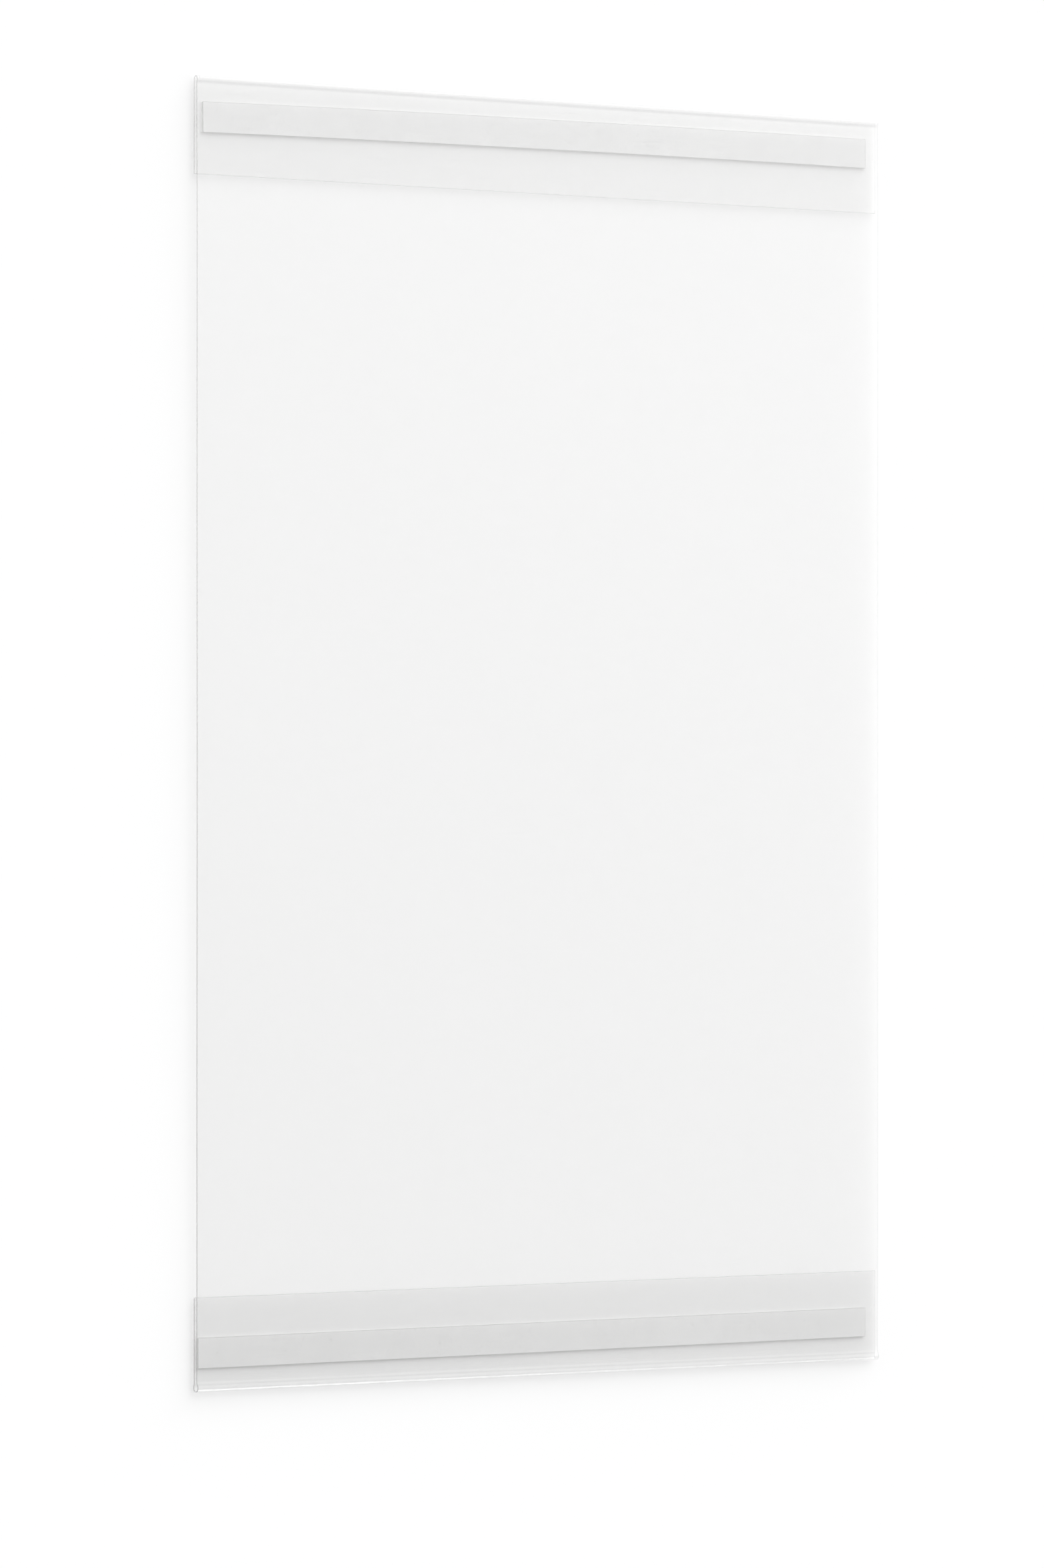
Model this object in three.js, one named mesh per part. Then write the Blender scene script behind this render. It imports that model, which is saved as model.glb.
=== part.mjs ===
// Magnetic display pocket for one A3 sheet, held upright on a steel board.
// One clear film is folded back at its top and bottom into two short rear flaps.
// A white-faced flexible magnet strip is stuck to the back of each flap.
// Millimetres. +X is the pocket's width, +Z is up and -Y is the side that is read.
// The board's surface is the plane y = 0, and the origin lies on the rear face of
// the upper magnet, at half its height, on the pocket's upright centre line.
import * as THREE from 'three';

// Driving dimensions of the folded film
const POCKET_WIDTH = 300;
const POCKET_HEIGHT = 427;
const FILM_THICKNESS = 0.4;
const INSERT_GAP = 0.9;
const UPPER_FLAP_HEIGHT = 31.9;
const LOWER_FLAP_HEIGHT = 30.7;
const UPPER_FOLD_HEIGHT = 6;
const LOWER_FOLD_HEIGHT = 7.4;
const UPPER_LOOP_DIAMETER = 1.45;
const LOWER_LOOP_DIAMETER = 2.2;
const LOOP_FORWARD = 0.15;

// Driving dimensions of the magnet strips, and how each was stuck on
const MAGNET_THICKNESS = 0.7;
const FACING_THICKNESS = 0.1;
const ADHESIVE_THICKNESS = 0.1;
const STRIP_HEIGHT = 10;
const UPPER_STRIP_LENGTH = 292;
const LOWER_STRIP_LENGTH = 294;
const UPPER_STRIP_FROM_FOLD = 7.3;
const LOWER_STRIP_FROM_FOLD = 7.8;
const UPPER_STRIP_SHIFT = -0.1;
const LOWER_STRIP_SHIFT = -1.2;
const UPPER_STRIP_TILT_DEGREES = 0.36;
const LOWER_STRIP_TILT_DEGREES = 0.09;

// Smoothness of the round folds
const CURVE_SEGMENTS = 10;

// Layers, counted forward from the board
const magnetFront = -MAGNET_THICKNESS;
const facingFront = magnetFront - FACING_THICKNESS;
const flapBack = facingFront - ADHESIVE_THICKNESS;
const flapFront = flapBack - FILM_THICKNESS;
const panelBack = flapFront - INSERT_GAP;
const panelFront = panelBack - FILM_THICKNESS;
const foldDepth = (flapBack + panelFront) / 2;
const layerOffset = (INSERT_GAP + FILM_THICKNESS) / 2;

// Heights, counted from the middle of the upper magnet
const pocketTop = STRIP_HEIGHT / 2 + UPPER_STRIP_FROM_FOLD;
const pocketBottom = pocketTop - POCKET_HEIGHT;
const lowerStripMiddle = pocketBottom + LOWER_STRIP_FROM_FOLD + STRIP_HEIGHT / 2;

const film = new THREE.MeshStandardMaterial({
  color: 0xf2f4f4,
  roughness: 0.08,
  metalness: 0,
  transparent: true,
  opacity: 0.25,
});
const adhesive = new THREE.MeshStandardMaterial({
  color: 0xf0f0ec,
  roughness: 0.3,
  metalness: 0,
  transparent: true,
  opacity: 0.5,
});
const facing = new THREE.MeshStandardMaterial({ color: 0xe9e9e8, roughness: 0.45, metalness: 0 });
const ferrite = new THREE.MeshStandardMaterial({ color: 0x3a3431, roughness: 0.8, metalness: 0 });

function addMesh(group, name, geometry, material, y, z) {
  const mesh = new THREE.Mesh(geometry, material.clone());
  mesh.name = name;
  mesh.position.set(0, y, z);
  group.add(mesh);
}

// A flat layer, centred on its group's width, between two depths and two heights
function addLayer(group, name, material, width, front, back, bottom, top) {
  const geometry = new THREE.BoxGeometry(width, back - front, top - bottom);
  addMesh(group, name, geometry, material, (front + back) / 2, (bottom + top) / 2);
}

// The section of a fold in depth and height, with its outermost point at height 0.
// Each side is straight where it meets the flat film and swells into the round end,
// which bulges a little forward.
function foldSection(loopDiameter, foldHeight) {
  const half = FILM_THICKNESS / 2;
  const loopOuter = loopDiameter / 2 + half;
  const loopInner = loopDiameter / 2 - half;
  const filmOuter = layerOffset + half;
  const filmInner = layerOffset - half;
  const reach = (foldHeight - loopOuter) / 2;
  const middle = -LOOP_FORWARD;
  const shape = new THREE.Shape();

  function sideToLoop(from, to) {
    shape.bezierCurveTo(from, foldHeight - reach, to, loopOuter + reach, to, loopOuter);
  }
  function sideToFilm(from, to) {
    shape.bezierCurveTo(from, loopOuter + reach, to, foldHeight - reach, to, foldHeight);
  }

  shape.moveTo(filmOuter, foldHeight);
  sideToLoop(filmOuter, middle + loopOuter);
  shape.absarc(middle, loopOuter, loopOuter, 0, Math.PI, true);
  sideToFilm(middle - loopOuter, -filmOuter);
  shape.lineTo(-filmInner, foldHeight);
  sideToLoop(-filmInner, middle - loopInner);
  shape.absarc(middle, loopOuter, loopInner, Math.PI, 0, false);
  sideToFilm(middle + loopInner, filmInner);
  shape.closePath();
  return shape;
}

// The section is drawn in depth and height, then stretched along the pocket's width
function foldGeometry(loopDiameter, foldHeight) {
  const geometry = new THREE.ExtrudeGeometry(foldSection(loopDiameter, foldHeight), {
    depth: POCKET_WIDTH,
    bevelEnabled: false,
    curveSegments: CURVE_SEGMENTS,
  });
  const alongWidth = new THREE.Matrix4().makeBasis(
    new THREE.Vector3(0, 1, 0),
    new THREE.Vector3(0, 0, 1),
    new THREE.Vector3(1, 0, 0),
  );
  geometry.applyMatrix4(alongWidth);
  geometry.translate(-POCKET_WIDTH / 2, 0, 0);
  return geometry;
}

// The film: front panel, two rear flaps and the two folds between them
function makeFilm() {
  const group = new THREE.Group();
  const panelTop = pocketTop - UPPER_FOLD_HEIGHT;
  const panelBottom = pocketBottom + LOWER_FOLD_HEIGHT;
  const upperEdge = pocketTop - UPPER_FLAP_HEIGHT;
  const lowerEdge = pocketBottom + LOWER_FLAP_HEIGHT;

  addLayer(group, 'front_panel', film, POCKET_WIDTH, panelFront, panelBack, panelBottom, panelTop);
  addLayer(group, 'upper_flap', film, POCKET_WIDTH, flapFront, flapBack, upperEdge, panelTop);
  addLayer(group, 'lower_flap', film, POCKET_WIDTH, flapFront, flapBack, panelBottom, lowerEdge);

  const upperFold = foldGeometry(UPPER_LOOP_DIAMETER, UPPER_FOLD_HEIGHT);
  upperFold.rotateY(Math.PI);
  addMesh(group, 'upper_fold', upperFold, film, foldDepth, pocketTop);
  const lowerFold = foldGeometry(LOWER_LOOP_DIAMETER, LOWER_FOLD_HEIGHT);
  addMesh(group, 'lower_fold', lowerFold, film, foldDepth, pocketBottom);
  return group;
}

// One magnet strip with its white facing and the adhesive that bonds it to the flap.
// A positive tilt raises its right end.
function makeStrip(side, length, shift, middle, tiltDegrees) {
  const group = new THREE.Group();
  group.position.set(shift, 0, middle);
  group.rotation.y = -THREE.MathUtils.degToRad(tiltDegrees);
  const half = STRIP_HEIGHT / 2;
  addLayer(group, `${side}_magnet`, ferrite, length, magnetFront, 0, -half, half);
  addLayer(group, `${side}_facing`, facing, length, facingFront, magnetFront, -half, half);
  addLayer(group, `${side}_adhesive`, adhesive, length, flapBack, facingFront, -half, half);
  return group;
}

const pocket = new THREE.Group();
pocket.add(
  makeFilm(),
  makeStrip('upper', UPPER_STRIP_LENGTH, UPPER_STRIP_SHIFT, 0, UPPER_STRIP_TILT_DEGREES),
  makeStrip(
    'lower',
    LOWER_STRIP_LENGTH,
    LOWER_STRIP_SHIFT,
    lowerStripMiddle,
    LOWER_STRIP_TILT_DEGREES,
  ),
);

export default pocket;
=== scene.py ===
import math

import bpy
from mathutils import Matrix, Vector, noise


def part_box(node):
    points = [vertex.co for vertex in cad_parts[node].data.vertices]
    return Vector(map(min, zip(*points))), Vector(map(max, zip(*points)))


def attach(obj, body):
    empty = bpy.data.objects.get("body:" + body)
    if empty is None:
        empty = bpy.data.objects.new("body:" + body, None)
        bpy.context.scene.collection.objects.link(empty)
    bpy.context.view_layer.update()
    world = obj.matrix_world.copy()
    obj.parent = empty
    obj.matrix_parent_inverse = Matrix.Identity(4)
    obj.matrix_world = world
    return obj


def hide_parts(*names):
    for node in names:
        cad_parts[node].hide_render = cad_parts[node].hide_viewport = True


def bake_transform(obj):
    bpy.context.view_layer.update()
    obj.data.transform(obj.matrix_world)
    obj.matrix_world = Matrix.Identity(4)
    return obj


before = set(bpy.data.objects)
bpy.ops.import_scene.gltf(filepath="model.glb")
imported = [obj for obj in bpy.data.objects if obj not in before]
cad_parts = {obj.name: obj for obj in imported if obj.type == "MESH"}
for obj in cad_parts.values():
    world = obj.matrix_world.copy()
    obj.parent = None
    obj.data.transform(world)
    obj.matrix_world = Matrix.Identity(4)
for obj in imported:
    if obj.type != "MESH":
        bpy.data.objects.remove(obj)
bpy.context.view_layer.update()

MM = 0.001

# The photograph's camera: level, turned towards the pocket's right, through a long lens
CAMERA_PLACE = (-2.0577, -2.3960, -0.2363)
CAMERA_TURN_DEGREES = 40.53
LENS_MM = 216.7
SENSOR_MM = 36.0
SHIFT_UP = 0.0371
NEAR_CLIP, FAR_CLIP = 0.01, 100
TRANSPARENT_BOUNCES = 48

# Stage
WALL_GAP = 0.06 * MM
WALL_REACH = 6.0
FLOOR_DEPTH = 1.2
FLOOR_REACH = 12.0
WALL_GREY = 0.91
FLOOR_GREY = 0.6

# Light: the even fill as a share of white, and how much more of it comes from the right and above. The
# suns' strengths are in watts for each square metre, and their sizes and angles in degrees.
FILL = 0.84
FILL_RIGHT, FILL_UP = 0.35, 0.6
KEY_STRENGTH = 1.15
KEY_AZIMUTH, KEY_ELEVATION, KEY_SIZE = 18.0, 50.0, 50.0
RAKE_STRENGTH = 0.6
RAKE_DIRECTION = (0.74, -0.18, 0.65)
RAKE_SIZE = 20.0
REAR_STRENGTH = 0.3
REAR_DIRECTION = (-0.5, 0.7, 0.5)
REAR_SIZE = 40.0
LEFT_STRENGTH = 0.3
LEFT_DIRECTION = (-0.97, -0.02, 0.25)
LEFT_SIZE = 30.0

# What gloss mirrors, by height: a dark floor, a band round the horizon that is brighter towards the
# right, and plain white overhead. A narrow lamp low on the right lights the lower fold's line.
MIRROR_LEAST = 0.15
MIRROR_FLOOR = (-0.5, -0.1)
MIRROR_LOW, MIRROR_HIGH = 1.1, 2.0
MIRROR_BAND = (-0.07, 0.08)
MIRROR_CEILING = (0.45, 0.75)
MIRROR_TOP = 1.0
MIRROR_AZIMUTH = math.radians(40.6)
MIRROR_TURN = 3.0
MIRROR_TURN_MOST = 0.2
MIRROR_LAMP = 8.0
MIRROR_LAMP_HEIGHT = (-0.9, -0.5)
MIRROR_LAMP_SIDE = 0.62
MIRROR_LAMP_WIDTH = 0.08

# Materials: colours, roughness, and the share of the light that a milky layer holds back. Nearly all of
# a noise lies within NOISE_MOST, and a narrower range gives more contrast.
NOISE_MOST = (0.3, 0.7)
NOISE_CONTRAST = (0.35, 0.65)
TWO_NOISES_MOST = (0.7, 1.3)
FILM_IOR = 1.5
FILM_CLEAR = (0.957, 0.957, 0.9565)
FILM_HAZE_COLOUR = (0.9, 0.91, 0.91)
FILM_HAZE = (0.001, 0.007)
FILM_ROUGHNESS = (0.03, 0.07)
EDGE_CLEAR = (0.98, 0.98, 0.98)
EDGE_GREYS = (0.32, 0.32, 0.32), (0.44, 0.44, 0.44)
EDGE_HAZE = (0.5, 0.75)
# Painted shade on the film's cut edge: darker lower down and lighter towards the top, over these heights.
EDGE_SHADE_AT_TOP = 0.55
EDGE_HAZE_INSIDE = 0.05
EDGE_SHADE_HEIGHTS = (-380 * MM, -20 * MM)
FACING_WHITES = (0.935, 0.935, 0.934), (0.965, 0.965, 0.964)
FACING_ROUGHNESS = (0.38, 0.52)
FACING_SPECULAR = 0.3
# The facing rim's greys are painted shade, for the dark lines along the strip's edges.
RIM_SHADE_GREYS = (0.16, 0.158, 0.155), (0.34, 0.336, 0.33)
MAGNET_GREYS = (0.038, 0.034, 0.032), (0.075, 0.069, 0.066)
MAGNET_CONTRAST = (0.38, 0.62)
MAGNET_ROUGHNESS = (0.5, 0.78)
COAT_WHITES = (0.72, 0.715, 0.71), (0.88, 0.875, 0.87)
ADHESIVE_CLEAR = (0.999, 0.999, 0.999)
ADHESIVE_MILK = (0.84, 0.84, 0.835)
ADHESIVE_HAZE = (0.003, 0.02)
ADHESIVE_SPOTS = (0.0, 0.03)
ADHESIVE_SPOTS_FROM = (0.62, 0.75)

# Film: its folds, its cut edges, how finely it is meshed, and how far the panel bulges
LOOP_FORWARD = 0.15 * MM
UPPER_SWELL = 2.6 * MM
LOWER_SWELL = 3.4 * MM
EDGE_RADIUS = 0.07 * MM
EDGE_BAND = 0.05 * MM
CORNER_DEGREES = (30, 60)
ROUNDING_MOST = 0.98
FILM_COLUMNS = 60
PANEL_ROWS = 70
FLAP_ROWS = 10
SIDE_ROWS = 10
LOOP_ROWS = 28
PANEL_BULGE = 0.3 * MM
BULGE_SCALE = 7.0
BULGE_SEED = 3.7
BULGE_FADE = 40 * MM

# Magnet strips: each layer's rounding and how far it lies inside the strip's outline
STRIP_STATIONS = 90
STRIP_COLUMNS = 8
UPPER_STRIP_BOW = 0.5 * MM
STRIP_WOBBLE = 0.06 * MM
WOBBLE_ALONG = 18
WOBBLE_ACROSS = 0.8
UPPER_SEED, LOWER_SEED = 1.3, 6.1
MAGNET_RADIUS, MAGNET_INSET = 0.12 * MM, 0.05 * MM
FACING_RADIUS = 0.045 * MM
ADHESIVE_RADIUS, ADHESIVE_INSET = 0.03 * MM, 0.12 * MM
ADHESIVE_PLAY = 0.006 * MM


# Small helpers for node trees

def blank_material(name):
    material = bpy.data.materials.new(name)
    material.use_nodes = True
    material.node_tree.nodes.clear()
    return material, material.node_tree


def add_node(tree, kind, settings=None, **inputs):
    """A node with its settings, and with its inputs set to values or linked to sockets."""
    node = tree.nodes.new(kind)
    for key, value in (settings or {}).items():
        setattr(node, key, value)
    for key, value in inputs.items():
        socket = find_input(node, key)
        if isinstance(value, bpy.types.NodeSocket):
            tree.links.new(value, socket)
        else:
            socket.default_value = value
    return node


def find_input(node, key):
    """An input by its position, as in_2, or by its name with underscores for spaces."""
    if key.startswith("in_"):
        return node.inputs[int(key.removeprefix("in_"))]
    return node.inputs[key.replace("_", " ")]


def maths(tree, operation, first, second=0.0):
    return add_node(tree, "ShaderNodeMath", {"operation": operation}, in_0=first, in_1=second).outputs[0]


def mix_values(tree, factor, first, second):
    node = add_node(tree, "ShaderNodeMix", {"data_type": "FLOAT"}, in_0=factor, in_2=first, in_3=second)
    return node.outputs[0]


def mix_colours(tree, factor, first, second):
    """A blend of two colours, each given as (red, green, blue)."""
    inputs = {"in_0": factor, "in_6": (*first, 1), "in_7": (*second, 1)}
    return add_node(tree, "ShaderNodeMix", {"data_type": "RGBA"}, **inputs).outputs[2]


def between(tree, value, colours, contrast=NOISE_CONTRAST):
    """A colour between the two of a pair, by a noise."""
    return mix_colours(tree, spread(tree, value, 0.0, 1.0, *contrast), *colours)


def mix_shaders(tree, factor, first, second):
    return add_node(tree, "ShaderNodeMixShader", in_0=factor, in_1=first, in_2=second).outputs[0]


def spread(tree, value, low, high, from_low=0.0, from_high=1.0):
    """A value stretched from one range to another, and held inside it."""
    inputs = {"Value": value, "From_Min": from_low, "From_Max": from_high, "To_Min": low, "To_Max": high}
    return add_node(tree, "ShaderNodeMapRange", {"clamp": True}, **inputs).outputs[0]


def own_place(tree, squeeze=(1, 1, 1)):
    """The object's own coordinates. A noise is finer along an axis with a greater squeeze."""
    place = add_node(tree, "ShaderNodeTexCoord").outputs["Object"]
    return add_node(tree, "ShaderNodeMapping", Vector=place, Scale=squeeze).outputs[0]


def noise_value(tree, place, scale, detail=2.0, roughness=0.5):
    inputs = {"Vector": place, "Scale": scale, "Detail": detail, "Roughness": roughness}
    return add_node(tree, "ShaderNodeTexNoise", **inputs).outputs[0]


def bump(tree, height, distance, strength=1.0):
    node = add_node(tree, "ShaderNodeBump", Height=height, Distance=distance, Strength=strength)
    return node.outputs[0]


def face_turned_away(tree):
    """1 where the face's inner side is met, and 0 on its outer side."""
    return add_node(tree, "ShaderNodeNewGeometry").outputs["Backfacing"]


def principled(tree, **inputs):
    return add_node(tree, "ShaderNodeBsdfPrincipled", **inputs).outputs[0]


def clear_shader(tree, colour):
    return add_node(tree, "ShaderNodeBsdfTransparent", Color=(*colour, 1)).outputs[0]


def matt_shader(tree, grey):
    return add_node(tree, "ShaderNodeBsdfDiffuse", Color=(grey, grey, grey, 1)).outputs[0]


def set_surface(tree, shader):
    output = add_node(tree, "ShaderNodeOutputMaterial")
    tree.links.new(shader, output.inputs["Surface"])


# Materials

def film_material():
    """Clear film: it lets light straight through, mirrors by the angle, and has a faint uneven haze."""
    material, tree = blank_material("clear_film")
    cloudy = noise_value(tree, own_place(tree), scale=22, detail=1)
    streaks = noise_value(tree, own_place(tree, (2, 2, 60)), scale=18, detail=2, roughness=0.65)
    normal = bump(tree, cloudy, 0.02 * MM)
    ior = mix_values(tree, face_turned_away(tree), FILM_IOR, 1 / FILM_IOR)
    mirrored = add_node(tree, "ShaderNodeFresnel", IOR=ior, Normal=normal).outputs[0]
    roughness = spread(tree, streaks, *FILM_ROUGHNESS, *NOISE_MOST)
    inputs = {"Color": (1, 1, 1, 1), "Roughness": roughness, "Normal": normal}
    gloss = add_node(tree, "ShaderNodeBsdfAnisotropic", **inputs).outputs[0]
    haze = principled(tree, Base_Color=(*FILM_HAZE_COLOUR, 1), Roughness=0.5)
    held = spread(tree, maths(tree, "ADD", cloudy, streaks), *FILM_HAZE, *TWO_NOISES_MOST)
    body = mix_shaders(tree, held, clear_shader(tree, FILM_CLEAR), haze)
    set_surface(tree, mix_shaders(tree, mirrored, body, gloss))
    return material


def cut_edge_material():
    """The film's cut edge, frosted by the knife to hold light back, and darker lower down as painted
    shade.
    """
    material, tree = blank_material("cut_film_edge")
    place = own_place(tree)
    nicks = noise_value(tree, place, scale=900, detail=3, roughness=0.7)
    slow = noise_value(tree, place, scale=30, detail=2)
    normal = bump(tree, nicks, 0.02 * MM)
    grey = mix_colours(tree, slow, *EDGE_GREYS)
    frost = principled(tree, Base_Color=grey, Roughness=0.35, Normal=normal)
    # Painted shade: lower down the edge holds back more light, as if less light fell on it from above.
    height = add_node(tree, "ShaderNodeSeparateXYZ", in_0=place).outputs[2]
    share = spread(tree, height, 1.0, EDGE_SHADE_AT_TOP, *EDGE_SHADE_HEIGHTS)
    held = maths(tree, "MULTIPLY", spread(tree, nicks, *EDGE_HAZE, *NOISE_MOST), share)
    side = mix_values(tree, face_turned_away(tree), 1.0, EDGE_HAZE_INSIDE)
    held = maths(tree, "MULTIPLY", held, side)
    set_surface(tree, mix_shaders(tree, held, clear_shader(tree, EDGE_CLEAR), frost))
    return material


def facing_material():
    """Satin white vinyl, with a fine grain, faint drawn lines and slight yellowing in patches."""
    material, tree = blank_material("white_facing")
    place = own_place(tree)
    patches = noise_value(tree, place, scale=22, detail=3)
    lines = noise_value(tree, own_place(tree, (2, 40, 40)), scale=40, detail=4, roughness=0.6)
    grain = noise_value(tree, place, scale=2600, detail=2)
    shade = maths(tree, "ADD", maths(tree, "MULTIPLY", patches, 0.6), maths(tree, "MULTIPLY", lines, 0.4))
    inputs = {
        "Base_Color": between(tree, shade, FACING_WHITES),
        "Roughness": spread(tree, grain, *FACING_ROUGHNESS, *NOISE_MOST),
        "Specular_IOR_Level": FACING_SPECULAR,
        "Normal": bump(tree, lines, 0.01 * MM, strength=0.4),
    }
    set_surface(tree, principled(tree, **inputs))
    return material


def streaked_material(name, colours, squeeze, scale):
    """A matt cut side between two colours, streaked along the strip."""
    material, tree = blank_material(name)
    streaks = noise_value(tree, own_place(tree, squeeze), scale, detail=4, roughness=0.65)
    colour = between(tree, streaks, colours)
    normal = bump(tree, streaks, 0.02 * MM, strength=0.6)
    set_surface(tree, principled(tree, Base_Color=colour, Roughness=0.6, Normal=normal))
    return material


def rim_shade_material():
    """The vinyl's cut rim, painted dark grey as painted shade that draws dark lines along the strip's
    edges.
    """
    return streaked_material("facing_rim", RIM_SHADE_GREYS, squeeze=(4, 30, 30), scale=50)


def magnet_material():
    """Flexible ferrite: a dark brown-grey rubber with fine grit and rolled lines along its length."""
    material, tree = blank_material("magnet_core")
    place = own_place(tree)
    grit = noise_value(tree, place, scale=3200, detail=3, roughness=0.7)
    rolled = noise_value(tree, own_place(tree, (1.5, 60, 60)), scale=30, detail=4, roughness=0.6)
    scuffs = noise_value(tree, place, scale=55, detail=5, roughness=0.7)
    shade = maths(tree, "ADD", maths(tree, "MULTIPLY", rolled, 0.5), maths(tree, "MULTIPLY", scuffs, 0.5))
    colour = between(tree, shade, MAGNET_GREYS, MAGNET_CONTRAST)
    height = maths(tree, "ADD", maths(tree, "MULTIPLY", grit, 0.5), rolled)
    normal = bump(tree, height, 0.04 * MM, strength=0.8)
    roughness = spread(tree, scuffs, *MAGNET_ROUGHNESS, *NOISE_CONTRAST)
    set_surface(tree, principled(tree, Base_Color=colour, Roughness=roughness, Normal=normal))
    return material


def coated_side_material():
    """The strip's cut sides: ferrite under a thin, uneven white coat."""
    return streaked_material("coated_side", COAT_WHITES, squeeze=(3, 20, 60), scale=60)


def adhesive_material():
    """Transfer adhesive: nearly clear, milky in patches where air is caught."""
    material, tree = blank_material("clear_adhesive")
    place = own_place(tree)
    patches = noise_value(tree, place, scale=60, detail=4, roughness=0.6)
    caught = noise_value(tree, place, scale=700, detail=2)
    patchy = spread(tree, patches, *ADHESIVE_HAZE, *NOISE_CONTRAST)
    held = maths(tree, "ADD", patchy, spread(tree, caught, *ADHESIVE_SPOTS, *ADHESIVE_SPOTS_FROM))
    milk = principled(tree, Base_Color=(*ADHESIVE_MILK, 1), Roughness=0.4)
    set_surface(tree, mix_shaders(tree, held, clear_shader(tree, ADHESIVE_CLEAR), milk))
    return material


# Slabs with rounded edges

def rounded_ring(half_width, half_thick, radius, columns, band):
    """The (across, offset) points round a section, from its front's left, and how many its front has."""
    radius = min(radius, half_thick * ROUNDING_MOST)
    inner = half_width - radius
    across = [-inner, -inner + band]
    across += [(-1 + 2 * i / columns) * (inner - band) for i in range(1, columns)]
    across += [inner - band, inner]
    level = half_thick - radius
    corner = []
    for degrees in CORNER_DEGREES:
        turn = math.radians(degrees)
        corner.append((inner + radius * math.sin(turn), level + radius * math.cos(turn)))
    ring = [(a, half_thick) for a in across] + corner
    ring += [(half_width, level), (half_width, -level)]
    ring += [(a, -o) for a, o in reversed(corner)]
    ring += [(-a, -o) for a, o in ring]
    return ring, len(across)


def slab(
    name, stations, place, half_width, half_thick, radius, columns, band, materials, cut_ends=(True, True)
):
    """A slab lofted through stations of (position, inset). place(position, across, offset) gives a point.

    An end that is cut is closed. The others stay open, for a seam. A second material goes on the
    rounded edges and the cut ends."""
    vertices, faces, picks = [], [], []
    for position, inset in stations:
        ring, flat = rounded_ring(half_width - inset, half_thick - inset, radius, columns, band)
        vertices += [place(position, across, offset) for across, offset in ring]
    size = len(vertices) // len(stations)
    half = size // 2

    def is_rim(column):
        side = column % half
        return side == 0 or side >= flat - 2

    last = len(stations) - 2
    for row in range(len(stations) - 1):
        rounded = stations[row][1] > 0 or stations[row + 1][1] > 0
        beside = (row > 0 and stations[row - 1][1] > 0) or (row < last and stations[row + 2][1] > 0)
        for column in range(size):
            after = (column + 1) % size
            start, end = row * size, (row + 1) * size
            faces.append((start + column, end + column, end + after, start + after))
            picks.append(1 if is_rim(column) or rounded or beside else 0)
    ends = [(0, True), ((len(stations) - 1) * size, False)]
    for start, turned in [end for end, cut in zip(ends, cut_ends) if cut]:
        for column in range(flat - 1):
            quad = (column, column + 1, half + flat - 2 - column, half + flat - 1 - column)
            faces.append(tuple(start + i for i in (quad if turned else quad[::-1])))
            picks.append(1)
        for first in (flat - 1, half + flat - 1):
            corner = tuple((first + i) % size for i in range(half - flat + 2))
            faces.append(tuple(start + i for i in (corner if turned else corner[::-1])))
            picks.append(1)
    mesh = bpy.data.meshes.new(name)
    mesh.from_pydata(vertices, [], faces)
    for material in materials:
        mesh.materials.append(material)
    if len(materials) > 1:
        mesh.polygons.foreach_set("material_index", picks)
    mesh.polygons.foreach_set("use_smooth", [True] * len(faces))
    mesh.validate()
    mesh.update()
    piece = bpy.data.objects.new(name, mesh)
    bpy.context.scene.collection.objects.link(piece)
    return piece


def rounded_start(radius, steps=3):
    """(distance from the end, inset) for a rounded end."""
    turns = [math.radians(90 - 90 * i / steps) for i in range(steps + 1)]
    return [(radius * (1 - math.sin(t)), radius * (1 - math.cos(t))) for t in turns]


# Film

panel_low, panel_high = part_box("front_panel")
panel_middle = (panel_low.y + panel_high.y) / 2
film_half = (panel_high.y - panel_low.y) / 2
half_width = (panel_high.x - panel_low.x) / 2


def bezier(a, b, c, d, share):
    rest = 1 - share
    return a * rest**3 + 3 * b * rest**2 * share + 3 * c * rest * share**2 + d * share**3


def fold_line(fold, flap, up, swell):
    """The film's middle line round a fold, as (y, z) from the flap's side to the panel's."""
    low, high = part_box(fold)
    flap_low, flap_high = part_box(flap)
    flap_middle = (flap_low.y + flap_high.y) / 2
    middle = (flap_high.y + panel_low.y) / 2 - LOOP_FORWARD
    outer = middle - low.y
    radius = outer - film_half
    apex = high.z if up > 0 else low.z
    height = high.z - low.z
    reach = (swell - outer) / 2

    def side(film_y, loop_y):
        line = [(film_y, apex - up * height), (film_y, apex - up * (height + swell) / 2)]
        for i in range(SIDE_ROWS + 1):
            share = i / SIDE_ROWS
            y = bezier(film_y, film_y, loop_y, loop_y, share)
            depth = bezier(swell, swell - reach, outer + reach, outer, share)
            line.append((y, apex - up * depth))
        return line

    loop = []
    for i in range(1, LOOP_ROWS):
        turn = math.pi * i / LOOP_ROWS
        loop.append((middle + radius * math.cos(turn), apex - up * (outer - radius * math.sin(turn))))
    back = side(flap_middle, middle + radius)
    front = side(panel_middle, middle - radius)
    return back + loop + front[::-1]


def flap_line(flap, fold_end, up):
    """The flap's middle line from its free edge to the fold, with its rounded start."""
    low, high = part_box(flap)
    y = (low.y + high.y) / 2
    edge = low.z if up > 0 else high.z
    stations = [((y, edge + up * d), inset) for d, inset in rounded_start(EDGE_RADIUS)]
    start = edge + up * (EDGE_RADIUS + EDGE_BAND)
    for i in range(FLAP_ROWS):
        stations.append(((y, start + (fold_end - start) * i / FLAP_ROWS), 0.0))
    return stations


def with_directions(points):
    """Adds to each (y, z) of a line the direction in which the line runs there."""
    lines = []
    for i, (y, z) in enumerate(points):
        before, after = points[max(i - 1, 0)], points[min(i + 1, len(points) - 1)]
        along = Vector((0, after[0] - before[0], after[1] - before[1])).normalized()
        lines.append((y, z, along))
    return lines


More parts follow.
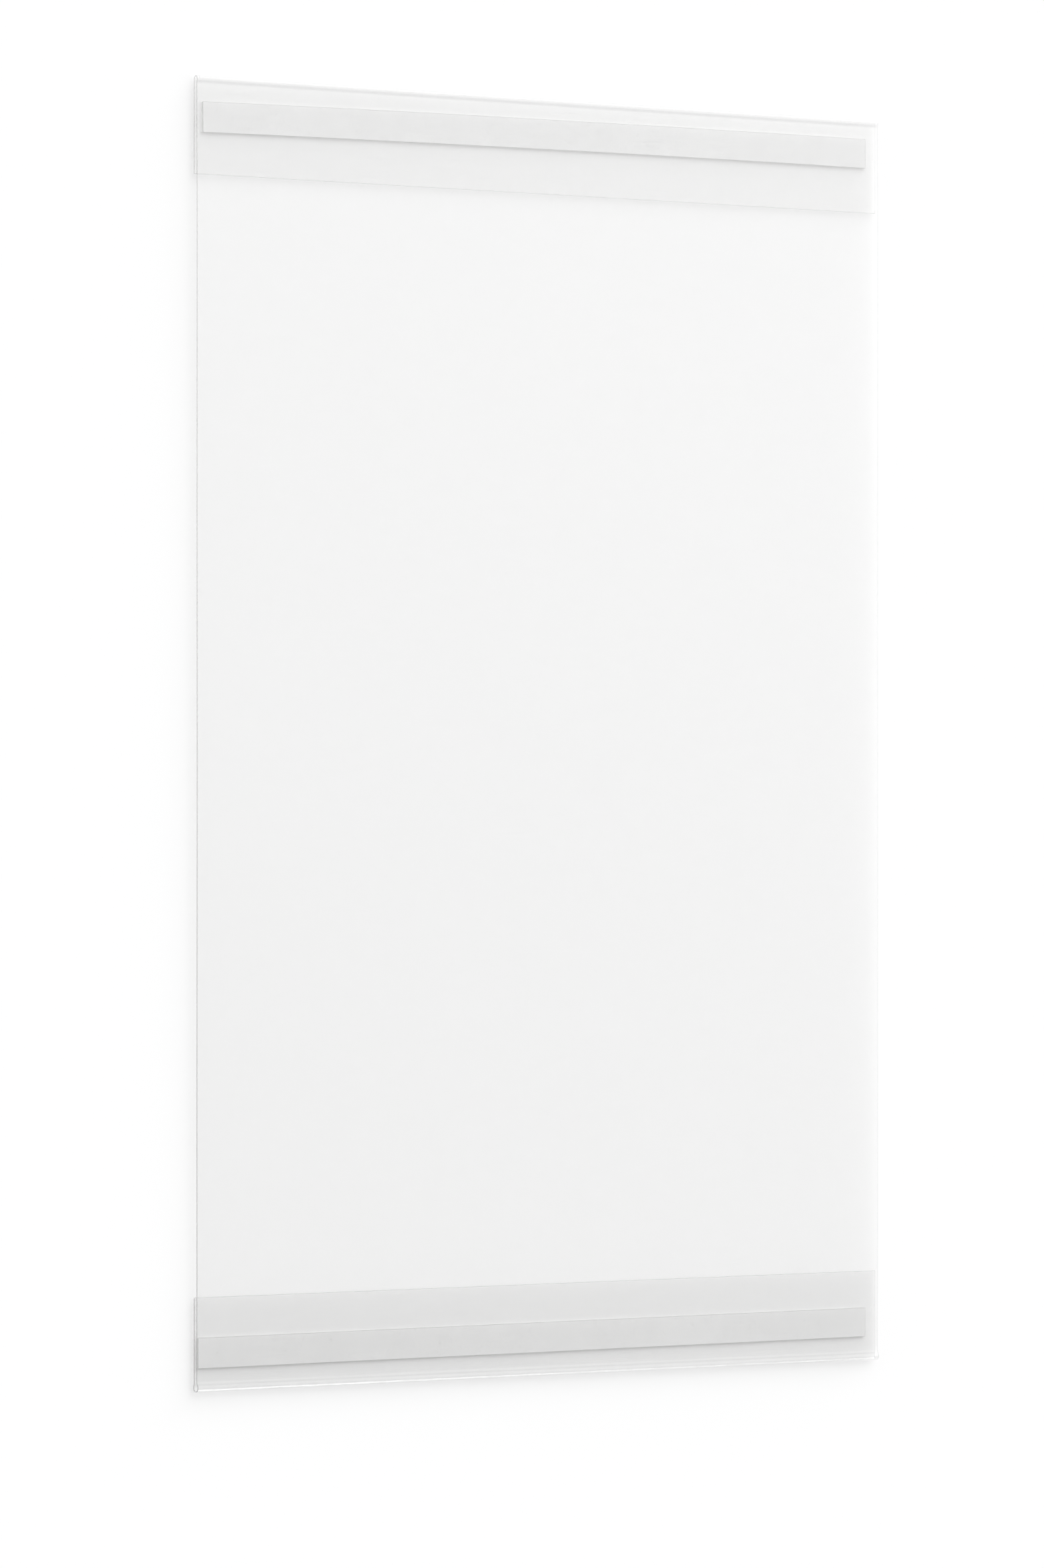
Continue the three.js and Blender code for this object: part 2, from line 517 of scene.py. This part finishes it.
def bulge(x, z, y):
    """How far the panel stands forward of flat: nothing on the flaps and near the folds."""
    if y > panel_high.y:
        return 0.0
    inside = min(z - panel_low.z, panel_high.z - z) / BULGE_FADE
    if inside <= 0:
        return 0.0
    fade = min(inside, 1.0)
    fade = fade * fade * (3 - 2 * fade)
    wave = 0.5 + 0.5 * noise.noise(Vector((x * BULGE_SCALE, BULGE_SEED, z * BULGE_SCALE)))
    return PANEL_BULGE * fade * wave


def film_piece(name, stations, up, materials):
    """A piece of the film along stations of ((y, z), inset), open where it meets the other piece."""
    points = with_directions([point for point, inset in stations])

    def place(index, across, offset):
        y, z, along = points[index]
        outward = Vector((0, along.z, -along.y)) * up
        point = Vector((across * up, y, z)) + outward * offset
        point.y -= bulge(point.x, z, y)
        return point

    numbered = [(i, inset) for i, (point, inset) in enumerate(stations)]
    sizes = (half_width, film_half, EDGE_RADIUS, FILM_COLUMNS, EDGE_BAND)
    return slab(name, numbered, place, *sizes, materials, cut_ends=(True, False))


def make_film():
    materials = [film_material(), cut_edge_material()]

    fold = fold_line("upper_fold", "upper_flap", 1, UPPER_SWELL)
    stations = flap_line("upper_flap", fold[0][1], 1)
    stations += [(point, 0.0) for point in fold]
    height = panel_high.z - panel_low.z
    for i in range(1, PANEL_ROWS + 1):
        stations.append(((panel_middle, panel_high.z - height * i / PANEL_ROWS), 0.0))
    film = film_piece("pocket_film", stations, 1, materials)
    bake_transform(film)
    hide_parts("front_panel", "upper_fold", "upper_flap")

    fold = fold_line("lower_fold", "lower_flap", -1, LOWER_SWELL)
    stations = flap_line("lower_flap", fold[0][1], -1)
    stations += [(point, 0.0) for point in fold]
    lower = film_piece("lower_flap_film", stations, -1, materials)
    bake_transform(lower)
    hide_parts("lower_fold", "lower_flap")


# Magnet strips

def strip_ends(node):
    """The middle of a strip's left and right end, half its height, and its two depths."""
    points = [vertex.co.copy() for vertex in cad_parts[node].data.vertices]
    middle_x = sum(p.x for p in points) / len(points)

    def end(side):
        near = sorted((p for p in points if (p.x - middle_x) * side > 0), key=lambda p: p.z)
        half = len(near) // 2
        low = sum((p for p in near[:half]), Vector()) / half
        high = sum((p for p in near[half:]), Vector()) / half
        return (low + high) / 2, (high - low).length / 2

    left, half_height = end(-1)
    right = end(1)[0]
    depths = [p.y for p in points]
    return left, right, half_height, min(depths), max(depths)


def strip_layer(name, node, body, materials, slot, bow, radius, inset, play, seed):
    """One layer of a strip, lofted from its left end to its right one along a slightly uneven line."""
    left, right, half_height, front, back = strip_ends(node)
    front, back = front + play, back - play
    along = right - left
    length = along.length
    along.normalize()
    rise = Vector((-along.z, 0, along.x))
    middle_y = (front + back) / 2
    half_thick = (back - front) / 2

    def place(position, across, offset):
        share = position / length
        drift = bow * (4 * share * (1 - share))
        edge = across / half_height
        drift += STRIP_WOBBLE * noise.noise(Vector((position * WOBBLE_ALONG, seed, edge * WOBBLE_ACROSS)))
        point = left + along * position + rise * (across + drift)
        point.y = middle_y - offset
        return point

    ends = rounded_start(radius)
    stations = [(inset + distance, rounding) for distance, rounding in ends]
    first, last = inset + radius * 2, length - inset - radius * 2
    for i in range(STRIP_STATIONS + 1):
        stations.append((first + (last - first) * i / STRIP_STATIONS, 0.0))
    stations += [(length - inset - distance, rounding) for distance, rounding in reversed(ends)]
    sizes = (half_height - inset, half_thick, radius, STRIP_COLUMNS, radius)
    piece = slab(name, stations, place, *sizes, materials)
    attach(piece, body)
    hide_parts(node)


def make_strips():
    magnet = [magnet_material(), coated_side_material()]
    facing = [facing_material(), rim_shade_material()]
    adhesive = [adhesive_material()]
    layers = (
        ("magnet", magnet, "magnet_core", MAGNET_RADIUS, MAGNET_INSET, 0.0),
        ("facing", facing, "white_facing", FACING_RADIUS, 0.0, 0.0),
        ("adhesive", adhesive, "clear_adhesive", ADHESIVE_RADIUS, ADHESIVE_INSET, ADHESIVE_PLAY),
    )
    for side, bow, seed in (("upper", UPPER_STRIP_BOW, UPPER_SEED), ("lower", 0.0, LOWER_SEED)):
        for layer, materials, slot, radius, inset, play in layers:
            names = (f"{side}_strip_{layer}", f"{side}_{layer}", f"{side}_mounting")
            strip_layer(*names, materials, slot, bow, radius, inset, play, seed)


# Stage, lamps and camera

def plane(name, corners, material):
    mesh = bpy.data.meshes.new(name)
    mesh.from_pydata([Vector(c) for c in corners], [], [(0, 1, 2, 3)])
    mesh.materials.append(material)
    mesh.update()
    piece = bpy.data.objects.new(name, mesh)
    bpy.context.scene.collection.objects.link(piece)
    return piece


def make_stage():
    """A pale wall that is clear from behind, and a light grey floor."""
    wall_material, tree = blank_material("wall_paint")
    paint = matt_shader(tree, WALL_GREY)
    clear = clear_shader(tree, (1, 1, 1))
    set_surface(tree, mix_shaders(tree, face_turned_away(tree), paint, clear))
    reach, deep = WALL_REACH, -FLOOR_DEPTH
    corners = [(-reach, deep), (reach, deep), (reach, reach), (-reach, reach)]
    wall = plane("wall", [(x, WALL_GAP, z) for x, z in corners], wall_material)
    wall.visible_shadow = False
    wall.visible_diffuse = False

    floor_material, tree = blank_material("floor_paint")
    set_surface(tree, matt_shader(tree, FLOOR_GREY))
    reach = FLOOR_REACH
    corners = [(-reach, -reach), (reach, -reach), (reach, 0), (-reach, 0)]
    floor = plane("floor", [(x, y, deep) for x, y in corners], floor_material)
    floor.visible_shadow = False
    floor.visible_diffuse = False
    floor.visible_glossy = False


def add_sun(name, direction, size_degrees, strength):
    """A large soft lamp, far off in the given direction."""
    data = bpy.data.lights.new(name, "SUN")
    data.energy = strength
    data.angle = math.radians(size_degrees)
    lamp = bpy.data.objects.new(name, data)
    bpy.context.scene.collection.objects.link(lamp)
    lamp.rotation_mode = "QUATERNION"
    lamp.rotation_quaternion = Vector(direction).to_track_quat("Z", "Y")


def make_suns():
    azimuth, elevation = math.radians(KEY_AZIMUTH), math.radians(KEY_ELEVATION)
    key = (
        math.sin(azimuth) * math.cos(elevation),
        -math.cos(azimuth) * math.cos(elevation),
        math.sin(elevation),
    )
    add_sun("key", key, KEY_SIZE, KEY_STRENGTH)
    add_sun("rake", RAKE_DIRECTION, RAKE_SIZE, RAKE_STRENGTH)
    add_sun("rear", REAR_DIRECTION, REAR_SIZE, REAR_STRENGTH)
    add_sun("left", LEFT_DIRECTION, LEFT_SIZE, LEFT_STRENGTH)


def mirrored_strength(tree, x, y, z):
    """What gloss mirrors in the direction (x, y, z)."""
    azimuth = maths(tree, "ARCTAN2", x, maths(tree, "MULTIPLY", y, -1.0))
    turn = maths(tree, "MULTIPLY", maths(tree, "SUBTRACT", azimuth, MIRROR_AZIMUTH), MIRROR_TURN)
    turn = maths(tree, "MAXIMUM", maths(tree, "MINIMUM", turn, MIRROR_TURN_MOST), -MIRROR_TURN_MOST)
    band = spread(tree, z, MIRROR_LOW, MIRROR_HIGH, *MIRROR_BAND)
    above_floor = spread(tree, z, 0.0, 1.0, *MIRROR_FLOOR)
    glow = mix_values(tree, above_floor, MIRROR_LEAST, maths(tree, "ADD", band, turn))
    overhead = spread(tree, z, 0.0, 1.0, *MIRROR_CEILING)
    glow = mix_values(tree, overhead, glow, MIRROR_TOP)
    lamp = spread(tree, z, MIRROR_LAMP, 0.0, *MIRROR_LAMP_HEIGHT)
    aside = maths(tree, "ABSOLUTE", maths(tree, "SUBTRACT", x, MIRROR_LAMP_SIDE))
    lamp = maths(tree, "MULTIPLY", lamp, spread(tree, aside, 1.0, 0.0, 0.0, MIRROR_LAMP_WIDTH))
    return maths(tree, "ADD", glow, lamp)


def make_world():
    """White to the camera, the even fill to matt surfaces, and the mirrored studio to gloss."""
    world = bpy.data.worlds.new("studio")
    bpy.context.scene.world = world
    world.use_nodes = True
    tree = world.node_tree
    tree.nodes.clear()
    direction = add_node(tree, "ShaderNodeTexCoord").outputs["Generated"]
    x, y, z = add_node(tree, "ShaderNodeSeparateXYZ", in_0=direction).outputs
    side = maths(tree, "MULTIPLY", x, FILL * FILL_RIGHT)
    height = maths(tree, "MULTIPLY", z, FILL * FILL_UP)
    fill = maths(tree, "ADD", maths(tree, "ADD", side, height), FILL)
    path = add_node(tree, "ShaderNodeLightPath").outputs
    seen = maths(tree, "MAXIMUM", path["Is Camera Ray"], path["Is Transmission Ray"])
    strength = mix_values(tree, seen, fill, 1.0)
    strength = mix_values(tree, path["Is Glossy Ray"], strength, mirrored_strength(tree, x, y, z))
    background = add_node(tree, "ShaderNodeBackground", Color=(1, 1, 1, 1), Strength=strength)
    output = add_node(tree, "ShaderNodeOutputWorld")
    tree.links.new(background.outputs[0], output.inputs["Surface"])


def make_camera():
    data = bpy.data.cameras.new("camera")
    data.sensor_width = SENSOR_MM
    data.lens = LENS_MM
    data.shift_y = SHIFT_UP
    data.clip_start, data.clip_end = NEAR_CLIP, FAR_CLIP
    data.dof.use_dof = False
    camera = bpy.data.objects.new("camera", data)
    bpy.context.scene.collection.objects.link(camera)
    camera.location = CAMERA_PLACE
    camera.rotation_euler = (math.radians(90), 0, -math.radians(CAMERA_TURN_DEGREES))
    bpy.context.scene.camera = camera


make_camera()
make_film()
make_strips()
make_stage()
make_suns()
make_world()

scene = bpy.context.scene
scene.view_settings.view_transform = "Standard"
scene.cycles.transparent_max_bounces = TRANSPARENT_BOUNCES
